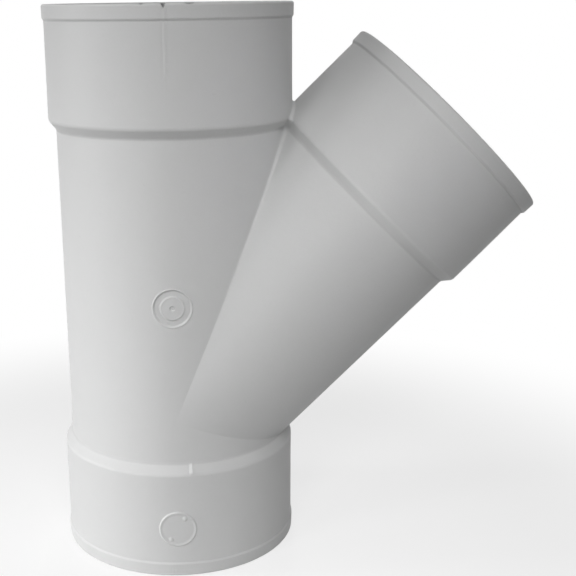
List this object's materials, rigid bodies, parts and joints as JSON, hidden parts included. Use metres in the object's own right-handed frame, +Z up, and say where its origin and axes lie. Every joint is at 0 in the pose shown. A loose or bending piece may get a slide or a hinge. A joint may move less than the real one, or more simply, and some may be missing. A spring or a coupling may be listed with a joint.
{
  "type": "pvc wye fitting",
  "caption": "Light grey 45 degree PVC wye for drainage pipe: a straight run and an angled branch, each end a plain glue socket with a low lip, a sloped shoulder and an inner stop ledge.",
  "frame": {"origin": "centre of the lower mouth, in the plane of its rim", "axes": "+Z up the straight run from the lower socket to the upper one, +X towards the side the branch leans to, +Y away from the moulded round marks"},
  "size_m": [0.213, 0.1076, 0.2435],
  "materials": {
    "grey_pvc": "satin, light grey, as moulded"
  },
  "bodies": {
    "root": {"wye_body": "grey_pvc"}
  },
  "joints": []
}
